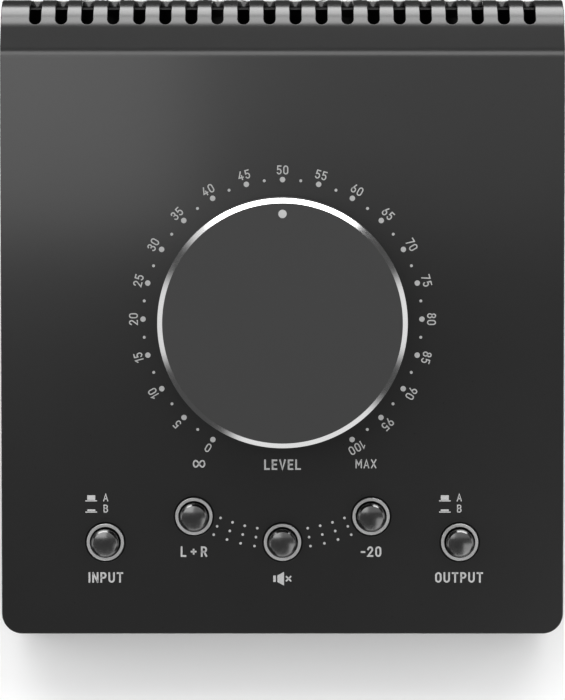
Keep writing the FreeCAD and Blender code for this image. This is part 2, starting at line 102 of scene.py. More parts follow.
def makeCamera():
    lean = math.radians(camera["lean"])
    aim = onPanel(0, camera["aimU"]).translation
    data = bpy.data.cameras.new("camera")
    data.sensor_width = camera["sensor"]
    data.lens = camera["focalPixels"] / camera["frameHeight"] * camera["sensor"]
    data.clip_start = 0.01
    data.clip_end = 20
    eye = inScene("camera", data)
    turn = Matrix.Rotation(slope - lean, 4, "X")
    eye.matrix_world = Matrix.Translation(aim) @ turn @ Matrix.Translation((0, 0, camera["distance"]))
    bpy.context.scene.camera = eye


makeCamera()
print("camera placed")


# Shader maths: a Val is one socket, a Finish is one material
class Val:
    def __init__(self, finish, socket):
        self.finish = finish
        self.socket = socket

    def maths(self, operation, *others):
        values = dict(enumerate((self,) + others))
        return self.finish.node("ShaderNodeMath", {"operation": operation}, values)

    def flipped(self, operation, other):
        return self.finish.node("ShaderNodeMath", {"operation": operation}, {0: other, 1: self})

    def __add__(self, other):
        return self.maths("ADD", other)

    def __radd__(self, other):
        return self.flipped("ADD", other)

    def __sub__(self, other):
        return self.maths("SUBTRACT", other)

    def __rsub__(self, other):
        return self.flipped("SUBTRACT", other)

    def __mul__(self, other):
        return self.maths("MULTIPLY", other)

    def __rmul__(self, other):
        return self.flipped("MULTIPLY", other)


class Finish:
    def __init__(self, name, tree=None):
        if tree is None:
            self.material = bpy.data.materials.new(name)
            self.material.use_nodes = True
            tree = self.material.node_tree
        self.nodes = tree.nodes
        self.links = tree.links
        self.shader = self.nodes.get("Principled BSDF")

    def feed(self, socket, value):
        if isinstance(value, Val):
            self.links.new(value.socket, socket)
        elif value is not None:
            socket.default_value = value

    def node(self, kind, settings=None, inputs=None, output=0):
        made = self.nodes.new(kind)
        for key, value in (settings or {}).items():
            if key == "stops":
                ramp = made.color_ramp
                for index, (place, colour) in enumerate(value):
                    stop = ramp.elements[index] if index < 2 else ramp.elements.new(place)
                    stop.position = place
                    stop.color = colour
            else:
                setattr(made, key, value)
        for key, value in (inputs or {}).items():
            self.feed(made.inputs[key], value)
        return Val(self, made.outputs[output])

    def where(self, stretch=(1, 1, 1)):
        place = self.node("ShaderNodeTexCoord", output=3)
        return self.node("ShaderNodeMapping", {}, {"Vector": place, "Scale": stretch})

    def noise(self, scale, detail=3, stretch=(1, 1, 1)):
        place = self.where(stretch)
        return self.node("ShaderNodeTexNoise", {}, {"Vector": place, "Scale": scale, "Detail": detail})

    def bands(self, direction, scale, distortion):
        settings = {"wave_type": "BANDS", "bands_direction": direction}
        inputs = {"Vector": self.where(), "Scale": scale, "Distortion": distortion, "Detail": 0.0}
        return self.node("ShaderNodeTexWave", settings, inputs)

    def ramp(self, value, low, high, kind="LINEAR"):
        settings = {"interpolation_type": kind}
        return self.node("ShaderNodeMapRange", settings, {0: value, 1: low, 2: high, 3: 0.0, 4: 1.0})

    def soft(self, value, low, high):
        return self.ramp(value, low, high, "SMOOTHSTEP")

    def blend(self, factor, first, second):
        made = self.nodes.new("ShaderNodeMix")
        made.data_type = "RGBA"
        self.feed(made.inputs[0], factor)
        self.feed(made.inputs[6], first)
        self.feed(made.inputs[7], second)
        return Val(self, made.outputs[2])

    def bump(self, height, strength, distance):
        return self.node("ShaderNodeBump", {}, {"Height": height, "Strength": strength, "Distance": distance})

    def wear(self, **sockets):
        names = {
            "colour": "Base Color",
            "rough": "Roughness",
            "metal": "Metallic",
            "normal": "Normal",
            "coat": "Coat Weight",
            "coatRough": "Coat Roughness",
            "specular": "Specular IOR Level",
        }
        for key, value in sockets.items():
            self.feed(self.shader.inputs[names[key]], value)
        return self.material


def grey(level, warm=0.0):
    return (level * (1 + warm), level, level * (1 - warm), 1)


def powderCoat(name, level, rough, specular, coat):
    made = Finish(name)
    grain = made.noise(2600, 2)
    cloud = made.noise(60, 3)
    colour = made.blend(made.ramp(cloud, 0.3, 0.7), grey(level * 0.92), grey(level * 1.08))
    return made.wear(
        colour=colour,
        rough=grain * 0.1 + (rough - 0.05),
        specular=specular,
        coat=coat,
        coatRough=0.15,
        normal=made.bump(grain, 0.16, 0.00004),
    )


def moulded(name, level, rough, warm=0.0):
    made = Finish(name)
    grain = made.noise(3000, 2)
    flow = made.noise(90, 3)
    colour = made.blend(flow, grey(level * 0.88, warm), grey(level * 1.12, warm))
    return made.wear(colour=colour, rough=grain * 0.14 + rough - 0.07, normal=made.bump(grain, 0.12, 0.00003))


def plated(name, level, rough):
    made = Finish(name)
    lines = made.noise(1500, 4)
    haze = made.noise(120, 3)
    colour = made.blend(haze, grey(level * 0.93), grey(level * 1.05))
    return made.wear(
        colour=colour,
        metal=1.0,
        rough=lines * 0.12 + (rough - 0.06) + haze * 0.03,
        normal=made.bump(lines, 0.05, 0.00002),
    )


def anodised(name, level, rough):
    made = Finish(name)
    grain = made.noise(4200, 2)
    cloud = made.noise(45, 2)
    colour = made.blend(cloud, grey(level * 0.97), grey(level * 1.03))
    return made.wear(
        colour=colour,
        metal=0.35,
        rough=grain * 0.1 + rough - 0.05,
        specular=0.4,
        normal=made.bump(grain, 0.1, 0.00002),
    )


def circuitBoard():
    made = Finish("circuitBoard")
    tracks = made.ramp(made.bands("DIAGONAL", 260, 3.0), 0.72, 0.78)
    colour = made.blend(tracks, (0.012, 0.07, 0.03, 1), (0.03, 0.14, 0.06, 1))
    return made.wear(colour=colour, rough=0.35, coat=0.3, normal=made.bump(tracks, 0.3, 0.00003))


def rubber():
    made = Finish("footRubber")
    grain = made.noise(1800, 4)
    dust = made.ramp(made.noise(220, 3), 0.55, 0.8)
    colour = made.blend(dust * 0.5, grey(0.014), grey(0.045, 0.04))
    pits = made.bump(grain, 0.3, 0.00006)
    return made.wear(colour=colour, rough=grain * 0.2 + 0.66, specular=0.3, normal=pits)


def silkInk():
    made = Finish("silkInk")
    speck = made.noise(5200, 2)
    colour = made.blend(made.ramp(speck, 0.2, 0.75), grey(0.4), grey(0.5))
    return made.wear(colour=colour, rough=0.55, specular=0.2, normal=made.bump(speck, 0.1, 0.00001))


def laminate():
    made = Finish("waferLaminate")
    layer = made.noise(900, 3, (1, 1, 8))
    colour = made.blend(layer, (0.09, 0.045, 0.018, 1), (0.17, 0.09, 0.035, 1))
    return made.wear(colour=colour, rough=0.5 + layer * 0.15, normal=made.bump(layer, 0.2, 0.00004))


def ribbonSheath():
    made = Finish("ribbonSheath")
    cores = made.bands("X", 125, 0.0)
    colour = made.blend(cores, grey(0.22), grey(0.42))
    return made.wear(colour=colour, rough=0.5, normal=made.bump(cores, 0.5, 0.0002))


finishes = {
    "cover_paint": powderCoat("coverPaint", 0.006, 0.3, 0.5, 1.0),
    "tray_paint": powderCoat("trayPaint", 0.008, 0.42, 0.5, 0.2),
    "foot_rubber": rubber(),
    "screw_steel": plated("screwSteel", 0.12, 0.4),
    "knob_metal": anodised("knobAnodised", 0.035, 0.55),
    "knob_dot": moulded("knobDot", 0.4, 0.5),
    "moulded_black": moulded("mouldedBlack", 0.02, 0.5),
    "pot_metal": plated("potMetal", 0.55, 0.35),
    "wafer_plastic": laminate(),
    "board_laminate": circuitBoard(),
    "jack_plastic": moulded("jackPlastic", 0.018, 0.42),
    "nut_nickel": plated("nutNickel", 0.6, 0.28),
    "ribbon_grey": ribbonSheath(),
    "header_black": moulded("headerBlack", 0.02, 0.45),
    "button_chrome": plated("buttonChrome", 0.24, 0.16),
    "ring_silver": plated("ringSilver", 0.56, 0.5),
    "switch_black": moulded("switchBlack", 0.02, 0.5),
    "switch_white": moulded("switchWhite", 0.7, 0.45, 0.02),
    "spring_steel": plated("springSteel", 0.5, 0.3),
}
bevelCut = plated("bevelCut", 0.86, 0.16)
ink = silkInk()

for part in frame["record"]["subparts"]:
    shape = frame["nodes"][part["node"]]
    shape.data.materials.clear()
    shape.data.materials.append(finishes[part["material_slot"]])
print("materials made", len(bpy.data.materials))


# Mesh helpers
def circle(radius, steps):
    turns = [math.tau * step / steps for step in range(steps)]
    return [(radius * math.cos(turn), radius * math.sin(turn)) for turn in turns]


def vertsAt(build, points, height):
    # corners in mm, kept in metres
    return [build.verts.new((x * mm, y * mm, height * mm)) for x, y in points]


def skin(build, rows, closed=False):
    # faces between rows of as many corners, each row a closed loop
    for one, other in zip(rows, rows[1:] + (rows[:1] if closed else [])):
        for index in range(len(one)):
            after = (index + 1) % len(one)
            build.faces.new((one[index], one[after], other[after], other[index]))


def meshOf(build, name, outward=True):
    if outward:
        bmesh.ops.recalc_face_normals(build, faces=build.faces)
    mesh = bpy.data.meshes.new(name)
    build.to_mesh(mesh)
    build.free()
    return mesh


def shade(mesh, angle):
    mesh.shade_smooth()
    mesh.set_sharp_from_angle(angle=math.radians(angle))


def afterModifiers(piece):
    bpy.context.view_layer.update()
    evaluated = piece.evaluated_get(bpy.context.evaluated_depsgraph_get())
    return bpy.data.meshes.new_from_object(evaluated)


def settled(piece, kind, settings):
    # adds one modifier and keeps its result as the piece's mesh
    modifier = piece.modifiers.new(kind, kind)
    for key, value in settings.items():
        setattr(modifier, key, value)
    piece.data = afterModifiers(piece)
    piece.modifiers.remove(modifier)


def levelled(piece):
    settled(piece, "WEIGHTED_NORMAL", {"mode": "FACE_AREA", "weight": 80, "keep_sharp": True})


def asPiece(name, mesh, finish, body, nodes=(), level=True):
    made = inScene(name, mesh)
    if level:
        levelled(made)
    if finish is not None:
        made.data.materials.clear()
        made.data.materials.append(finish)
    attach(made, body)
    if nodes:
        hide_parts(*nodes)
    return made


def turned(outline, steps, paint=None):
    # outline: (radius, height) points in mm from the axis back to the axis, or a closed ring of them
    build = bmesh.new()
    closed = outline[0][0] > 0
    rings = []
    for radius, height in outline:
        rings.append(vertsAt(build, circle(radius, steps) if radius else [(0, 0)], height))
    pairs = list(zip(rings, rings[1:]))
    if closed:
        pairs.append((rings[-1], rings[0]))
    for band, (low, high) in enumerate(pairs):
        for step in range(steps):
            after = (step + 1) % steps
            corners = [low[step % len(low)], low[after % len(low)]]
            corners += [high[after % len(high)], high[step % len(high)]]
            face = build.faces.new(list(dict.fromkeys(corners)))
            if paint:
                face.material_index = paint[band]
    return meshOf(build, "turned")


def rounded(points, radius, steps):
    # rounds the corners of an open outline that starts and ends on the axis
    made = [points[0]]
    for before, corner, after in zip(points, points[1:], points[2:]):
        here = Vector(corner)
        back = Vector(before) - here
        ahead = Vector(after) - here
        cut = min(radius, back.length * 0.45, ahead.length * 0.45)
        start = here + back.normalized() * cut
        end = here + ahead.normalized() * cut
        for step in range(steps + 1):
            part = step / steps
            spot = start * (1 - part) ** 2 + here * 2 * part * (1 - part) + end * part ** 2
            made.append((max(spot.x, 0), spot.y))
    made.append(points[-1])
    return made


# Geometry Nodes: one small tree builder
class Tree:
    def __init__(self, name, kinds):
        self.tree = bpy.data.node_groups.new(name, "GeometryNodeTree")
        interface = self.tree.interface
        interface.new_socket("Geometry", in_out="OUTPUT", socket_type="NodeSocketGeometry")
        self.ids = {}
        for key, kind in kinds.items():
            socket = interface.new_socket(key, in_out="INPUT", socket_type="NodeSocket" + kind)
            self.ids[key] = socket.identifier
        self.input = self.tree.nodes.new("NodeGroupInput")
        self.output = self.tree.nodes.new("NodeGroupOutput")

    def node(self, kind, settings=None, inputs=None):
        made = self.tree.nodes.new(kind)
        for key, value in (settings or {}).items():
            setattr(made, key, value)
        for key, value in (inputs or {}).items():
            if isinstance(value, str):
                self.tree.links.new(self.input.outputs[value], made.inputs[key])
            elif isinstance(value, bpy.types.NodeSocket):
                self.tree.links.new(value, made.inputs[key])
            else:
                made.inputs[key].default_value = value
        return made

    def placed(self, points, part):
        copies = self.node("GeometryNodeInstanceOnPoints", {}, {"Points": points, "Instance": part})
        whole = self.node("GeometryNodeRealizeInstances", {}, {0: copies.outputs[0]})
        paint = {"Geometry": whole.outputs[0], "Material": "Material"}
        painted = self.node("GeometryNodeSetMaterial", {}, paint)
        self.tree.links.new(painted.outputs[0], self.output.inputs[0])

    def mesh(self, name, values):
        carrier = inScene(name, bpy.data.meshes.new(name))
        modifier = carrier.modifiers.new(name, "NODES")
        modifier.node_group = self.tree
        for key, value in values.items():
            modifier[self.ids[key]] = value
        made = afterModifiers(carrier)
        bpy.data.objects.remove(carrier)
        return made


def dotArcTree():
    tree = Tree("dotArc", {
        "Count": "Int", "Radius": "Float", "First": "Float", "Step": "Float",
        "Dot": "Float", "Thickness": "Float", "Material": "Material",
    })

    def maths(operation, *values):
        return tree.node("ShaderNodeMath", {"operation": operation}, dict(enumerate(values))).outputs[0]

    index = tree.node("GeometryNodeInputIndex").outputs[0]
    turn = maths("RADIANS", maths("MULTIPLY_ADD", index, "Step", "First"))
    across = maths("MULTIPLY", maths("SINE", turn), "Radius")
    ahead = maths("MULTIPLY", maths("COSINE", turn), "Radius")
    spot = tree.node("ShaderNodeCombineXYZ", {}, {0: across, 1: ahead})
    points = tree.node("GeometryNodePoints", {}, {"Count": "Count", "Position": spot.outputs[0]})
    dot = tree.node("GeometryNodeMeshCylinder", {}, {"Vertices": 24, "Radius": "Dot", "Depth": "Thickness"})
    tree.placed(points.outputs[0], dot.outputs[0])
    return tree


def gridTree():
    tree = Tree("likeParts", {
        "Part": "Object", "Columns": "Int", "Rows": "Int",
        "Width": "Float", "Depth": "Float", "Material": "Material",
    })
    grid = tree.node(
        "GeometryNodeMeshGrid", {},
        {"Size X": "Width", "Size Y": "Depth", "Vertices X": "Columns", "Vertices Y": "Rows"},
    )
    part = tree.node("GeometryNodeObjectInfo", {"transform_space": "ORIGINAL"}, {0: "Part"})
    tree.placed(grid.outputs[0], part.outputs["Geometry"])
    return tree


dotArc = dotArcTree()
likeParts = gridTree()


def repeated(name, mesh, columns, rows, width, depth, finish):
    mesh.materials.clear()
    sample = inScene(name + "Sample", mesh)
    made = likeParts.mesh(name, {
        "Part": sample, "Columns": columns, "Rows": rows, "Width": width * mm, "Depth": depth * mm,
        "Material": finish,
    })
    bpy.data.objects.remove(sample)
    return made


# Cover: cut flat with its slots and holes, then bent over the back
cover = {
    "ridgeRadius": 6.5,
    "ridgeTurn": 23.3,
    "facet": 4.81,
    "rearRadius": 10.9,
    "skirt": 2.6,
    "corner": 4.75,
    "rearCorner": 0.8,
    "edge": 0.18,
    "slotEdge": 0.3,
    "holeEdge": 0.2,
    "slots": 20,
    "slotPitch": 6.01,
    "slotWidth": 2.5,
    "slotStart": 1.05,
    "slotRise": 0.8,
    "slotSteps": 10,
    "leastTurn": 0.08,
    "ringHole": 4.58,
    "bushingHole": 4.7,
    "bendSteps": (6, 16),
    "cornerSteps": (12, 4),
    "holeSteps": (64, 48),
    "inside": 0.003,
    "merge": 0.004,
}
buttonPlaces = {
    "source": (-41.0, 21.3),
    "mono": (-20.5, 27.3),
    "mute": (0.0, 21.3),
    "dim": (20.5, 27.3),
    "monitor": (41.0, 21.3),
}
ridgeTurn = math.radians(cover["ridgeTurn"])
rearTurn = slope - ridgeTurn + math.pi / 2
ridgeStart = panel["length"]
rearStart = ridgeStart + cover["ridgeRadius"] * ridgeTurn + cover["facet"]
skirtStart = rearStart + cover["rearRadius"] * rearTurn
slotFront = rearStart + cover["slotStart"] + cover["slotWidth"] / 2
slotBack = skirtStart - cover["slotRise"]
coverEnd = skirtStart + cover["skirt"]


# each bend's start, radius and turn, and the flat run after it
bends = (
    (ridgeStart, cover["ridgeRadius"], ridgeTurn, cover["facet"]),
    (rearStart, cover["rearRadius"], rearTurn, cover["skirt"]),
)


def bent(x, s, h):
    # a point of the flat plate, s along it from the front edge, carried round the bends
    heading = slope
    y = min(s, ridgeStart) * math.cos(slope)
    z = min(s, ridgeStart) * math.sin(slope)
    for start, radius, whole, flat in bends:
        turn = min(max(s - start, 0) / radius, whole)
        run = min(max(s - start - radius * whole, 0), flat)
        y += radius * (math.sin(heading) - math.sin(heading - turn))
        z -= radius * (math.cos(heading) - math.cos(heading - turn))
        heading -= turn
        y += run * math.cos(heading)
        z += run * math.sin(heading)
    y -= h * math.sin(heading)
    z += h * math.cos(heading)
    return Vector((x * mm, coverLow.y + y * mm, panelOrigin.z + z * mm))


def headingAt(s):
    return slope - sum(min(max(s - start, 0) / radius, whole) for start, radius, whole, _ in bends)


def plateNormal(s):
    heading = headingAt(s)
    return Vector((0, -math.sin(heading), math.cos(heading)))


def wallNormals(loop, outward):
    # square to the cut wall, lying in the plate
    normals = []
    for index, (_, s) in enumerate(loop):
        before, after = loop[index - 1], loop[(index + 1) % len(loop)]
        across = Vector((after[1] - before[1], before[0] - after[0])).normalized() * outward
        heading = headingAt(s)
        normals.append(Vector((across.x, across.y * math.cos(heading), across.y * math.sin(heading))))
    return normals


def bendLines():
    lines = []
    for (start, radius, turn, _), steps in zip(bends, cover["bendSteps"]):
        lines += [start + radius * turn * step / steps for step in range(steps + 1)]
    return lines


def arc(x, s, radius, turns):
    return [(x + radius * math.cos(turn), s + radius * math.sin(turn)) for turn in turns]


def roundHole(x, s, radius, steps):
    return arc(x, s, radius, [math.tau * step / steps for step in range(steps)])


def endTurns(middle, side):
    # a slot end's half turn: even steps, and a point wherever a bend line crosses it
    first = 0 if side > 0 else math.pi
    reach = cover["slotWidth"] / 2 + cover["slotEdge"]
    steps = cover["slotSteps"]
    crossed = []
    for s in bendLines():
        lift = (s - middle) * side / reach
        if 0 < lift < 1:
            crossed += [first + math.asin(lift), first + math.pi - math.asin(lift)]
    inner = [first + math.pi * step / steps for step in range(1, steps)]
    even = [turn for turn in inner if all(abs(turn - other) > cover["leastTurn"] for other in crossed)]
    return sorted([first, *even, *crossed, first + math.pi])


def slotMiddles():
    return [(index - (cover["slots"] - 1) / 2) * cover["slotPitch"] for index in range(cover["slots"])]


def slotLoop(x, grow):
    radius = cover["slotWidth"] / 2 + grow
    between = [s for s in bendLines() if slotFront < s < slotBack]
    loop = arc(x, slotFront, radius, endTurns(slotFront, -1))
    loop += [(x + radius, s) for s in between]
    loop += arc(x, slotBack, radius, endTurns(slotBack, 1))
    loop += [(x - radius, s) for s in reversed(between)]
    return loop


def edgeLoop(shrink):
    half = panel["halfWidth"] - shrink
    low = shrink
    high = coverEnd - shrink
    front = cover["corner"] - shrink
    rear = cover["rearCorner"] - shrink * 0.5
    loop = []
    for centreX, centreS, radius, first in (
        (half - front, low + front, front, -90),
        (half - rear, high - rear, rear, 0),
        (rear - half, high - rear, rear, 90),
        (front - half, low + front, front, 180),
    ):
        steps = cover["cornerSteps"][radius == rear]
        turns = [math.radians(first + 90 * step / steps) for step in range(steps + 1)]
        loop += arc(centreX, centreS, radius, turns)
        if first == -90:
            loop += [(half, s) for s in bendLines()]
        if first == 90:
            loop += [(-half, s) for s in reversed(bendLines())]
    return loop


def coverLoops(grow):
    # grow is 1 on the plate's two faces, where edges are rounded back, and 0 on its cut walls
    loops = [edgeLoop(cover["edge"] * grow)]
    loops += [slotLoop(x, cover["slotEdge"] * grow) for x in slotMiddles()]
    edge = cover["holeEdge"] * grow
    ringSteps, bushingSteps = cover["holeSteps"]
    loops += [roundHole(*place, cover["ringHole"] + edge, ringSteps) for place in buttonPlaces.values()]
    loops.append(roundHole(0, panel["dialU"], cover["bushingHole"] + edge, bushingSteps))
    return loops


def insideHole(x, s):
    nearest = min(max(s, slotFront), slotBack)
    holes = [(middle, nearest, cover["slotWidth"] / 2 + cover["slotEdge"]) for middle in slotMiddles()]
    holes += [(*place, cover["ringHole"] + cover["holeEdge"]) for place in buttonPlaces.values()]
    holes.append((0, panel["dialU"], cover["bushingHole"] + cover["holeEdge"]))
    return any(math.hypot(x - atX, s - atS) < radius - cover["inside"] for atX, atS, radius in holes)


def makeCover():
    loops = coverLoops(1)
    walls = coverLoops(0)
    spots = [Vector(spot) for loop in loops for spot in loop]
    edges = []
    base = 0
    for loop in loops:
        edges += [(base + index, base + (index + 1) % len(loop)) for index in range(len(loop))]
        base += len(loop)
    half = panel["halfWidth"] - cover["edge"]
    for s in bendLines():
        edges.append((len(spots), len(spots) + 1))
        spots += [Vector((-half, s)), Vector((half, s))]
    flat = geometry.delaunay_2d_cdt(spots, edges, [], 1, 1e-4)
    build = bmesh.new()
    lean = build.verts.layers.float_vector.new("lean")
    for depth, flip in ((0, False), (-panel["sheet"], True)):
        verts = [build.verts.new(bent(spot.x, spot.y, depth)) for spot in flat[0]]
        for vert, spot in zip(verts, flat[0]):
            vert[lean] = plateNormal(spot.y) * (-1 if flip else 1)
        for face in flat[2]:
            middle = sum((flat[0][index] for index in face), Vector((0, 0))) / len(face)
            if not insideHole(middle.x, middle.y):
                corners = [verts[index] for index in face]
                build.faces.new(reversed(corners) if flip else corners)
    for number, (loop, wall) in enumerate(zip(loops, walls)):
        drop = math.hypot(loop[0][0] - wall[0][0], loop[0][1] - wall[0][1])
        levels = [(loop, 0), (wall, -drop), (wall, drop - panel["sheet"]), (loop, -panel["sheet"])]
        rows = [[build.verts.new(bent(x, s, depth)) for x, s in ring] for ring, depth in levels]
        sideways = wallNormals(wall, 1 if number == 0 else -1)
        for index, (_, s) in enumerate(loop):
            rows[0][index][lean] = plateNormal(s)
            rows[1][index][lean] = rows[2][index][lean] = sideways[index]
            rows[3][index][lean] = -plateNormal(s)
        skin(build, rows)
    bmesh.ops.remove_doubles(build, verts=build.verts, dist=cover["merge"] * mm)
    loose = [vert for vert in build.verts if not vert.link_faces]
    bmesh.ops.delete(build, geom=loose, context="VERTS")
    mesh = meshOf(build, "coverPlate")
    mesh.shade_smooth()
    mesh.normals_split_custom_set_from_vertices([tuple(entry.vector) for entry in mesh.attributes["lean"].data])
    mesh.attributes.remove(mesh.attributes["lean"])
    asPiece("coverPlate", mesh, finishes["cover_paint"], "case", ["top_cover"], False)


makeCover()
print("cover made")


# Tray: the folded sheet under the cover, its cut edges softened
tray = {"merge": 0.002, "flatDegrees": 0.5, "edge": 0.15, "edgeDegrees": 40, "sharpDegrees": 50}


def makeTray():
    mesh = frame["nodes"]["base_tray"].data.copy()
    build = bmesh.new()
    build.from_mesh(mesh)
    bmesh.ops.remove_doubles(build, verts=build.verts, dist=tray["merge"] * mm)
    flat = math.radians(tray["flatDegrees"])
    bmesh.ops.dissolve_limit(build, angle_limit=flat, verts=build.verts, edges=build.edges)
    build.to_mesh(mesh)
    build.free()
    piece = asPiece("trayShell", mesh, finishes["tray_paint"], "case", ["base_tray"], False)
    settled(piece, "BEVEL", {
        "width": tray["edge"] * mm, "segments": 2, "limit_method": "ANGLE",
        "angle_limit": math.radians(tray["edgeDegrees"]), "use_clamp_overlap": True,
    })
    shade(piece.data, tray["sharpDegrees"])
    levelled(piece)


makeTray()
print("tray made")


# Knob: turned shell with a bright cut bevel, and the dot let into its face
knob = {
    "radius": 28.4,
    "top": 20.0,
    "lift": 1.0,
    "bevel": 1.16,
    "wall": 2.2,
    "roof": 2.5,
    "edge": 0.3,
    "innerEdge": 0.2,
    "bevelEdge": 0.12,
    "bevelSoft": 0.03,
    "dot": 0.95,
    "dotReach": 24.8,
    "dotDepth": 0.4,
    "dotEdge": 0.1,
    "dotProud": 0.02,
    "steps": 192,
    "crease": 28,
}


def makeKnob():
    r, top, lift, wall, roof = sizes(knob, "radius", "top", "lift", "wall", "roof")
    cut, soft, inset, edge, under = sizes(knob, "bevel", "bevelEdge", "bevelSoft", "edge", "innerEdge")
    inner = r - wall
    ceiling = top - roof
    face = [(x, top) for x in (0, 6, 12, 18, 22, 25, r - cut - soft)]
    bevel = [(r - cut, top - inset), (r - inset, top - cut), (r, top - cut - soft)]
    side = [(r, lift + edge), (r - edge, lift), (inner + under, lift), (inner, lift + under)]
    outline = face + bevel + side + [(inner, ceiling), (0, ceiling)]
    paint = [int(index == len(face)) for index in range(len(outline) - 1)]
    mesh = turned(outline, knob["steps"], paint)
    mesh.transform(onPanel(0, panel["dialU"]))
    shade(mesh, knob["crease"])
    mesh.materials.append(finishes["knob_metal"])
    mesh.materials.append(bevelCut)
    asPiece("knobShell", mesh, None, "knob", ["knob_cap"])


def makeKnobDot():
    top, r, depth, edge, proud = sizes(knob, "top", "dot", "dotDepth", "dotEdge", "dotProud")
    outline = [(0, top - depth), (r, top - depth), (r, top + proud / 2)]
    outline += [(r - edge, top + proud), (0, top + proud)]
    mesh = turned(outline, knob["steps"] // 4)
    mesh.transform(onPanel(0, panel["dialU"] + knob["dotReach"]))
    shade(mesh, knob["crease"])
    asPiece("knobDot", mesh, finishes["knob_dot"], "knob", ["knob_pointer"])


makeKnob()
makeKnobDot()
print("knob made")

# Buttons: domed dark caps in flat silver rings
button = {
    "radius": 3.2,
    "proud": 3.8,
    "dome": 0.31,
    "domeShares": (0.1, 0.2, 0.35, 0.5, 0.65, 0.75, 0.85, 0.93, 1),
    "edge": 0.5,
    "shoulder": (0.12, 0.14, 0.1),
    "drop": 4.6,
    "ringOuter": 4.3,
    "ringBore": 3.55,
    "ringProud": 0.4,
    "ringEdge": 0.08,
    "flange": 5.6,
    "flangeThickness": 1.0,
    "steps": 96,
    "capCrease": 24,
    "ringCrease": 28,
}


def makeCap(name, place):
    r, top, edge, rise, drop = sizes(button, "radius", "proud", "edge", "dome", "drop")
    outline = [(0, top + rise)]
    outline += [((r - edge) * share, top + rise * (1 - share ** 2)) for share in button["domeShares"]]
    inward, above, below = button["shoulder"]
    outline += [(r - inward, top - edge + above), (r, top - edge - below)]
    outline += [(r, -drop), (0, -drop)]
    mesh = turned(outline, button["steps"])
    mesh.transform(place)
    shade(mesh, button["capCrease"])
    nodes = [name + "_button_cap"]
    asPiece(name + "ButtonCap", mesh, finishes["button_chrome"], name + "_button", nodes)


def makeRing(name, place):
    flange, thickness = sizes(button, "flange", "flangeThickness")
    outer, bore, proud, edge = sizes(button, "ringOuter", "ringBore", "ringProud", "ringEdge")
    under = -panel["sheet"]
    below = under - thickness
    outline = [(bore, below), (flange, below), (flange, under), (outer, under)]
    outline += [(outer, proud - edge), (outer - edge, proud), (bore + edge, proud), (bore, proud - edge)]
    mesh = turned(outline, button["steps"], [1, 1, 1, 1, 0, 0, 0, 1])
    mesh.transform(place)
    shade(mesh, button["ringCrease"])
    mesh.materials.append(finishes["ring_silver"])
    mesh.materials.append(finishes["moulded_black"])
    asPiece(name + "ButtonRing", mesh, None, "case", [name + "_button_ring"])


for name, (x, u) in buttonPlaces.items():
    makeCap(name, onPanel(x, u))
    makeRing(name, onPanel(x, u))
print("buttons made")

# Print on the panel: dial, words, marks
printed = {
    "thickness": 0.04,
    "sunk": 0.01,
    "dialFirst": -150.0,
    "dialStep": 15.0,
    "dialCount": 21,
    "dialRadius": 32.19,
    "bigDot": 0.63,
    "smallDot": 0.34,
    "numberRadius": 34.4,
    "numberHeight": 2.08,
    "wordHeight": 2.43,
    "maxHeight": 2.1,
    "letterHeight": 1.85,
    "pen": 0.132,
    "wordPen": 0.168,
    "gap": 0.18,
    "space": 0.24,
}
printHalf = printed["thickness"] / 2
penCorners = ((1, 1), (-1, 1), (-1, -1), (1, -1))


def bow(x, y, across, up, first, last, steps=10):
    # points round an ellipse, in degrees anticlockwise from the right
    turns = [math.radians(first + (last - first) * step / steps) for step in range(steps + 1)]
    return [(x + across * math.cos(turn), y + up * math.sin(turn)) for turn in turns]


def ringPath(x, y, across, up, steps=22):
    return bow(x, y, across, up, 90, 90 - 360, steps)


def tallRing(width):
    r = width / 2
    up = r * 1.1
    return bow(r, 1 - up, r, up, 180, 0) + bow(r, up, r, up, 0, -180) + [(0, 1 - up)]


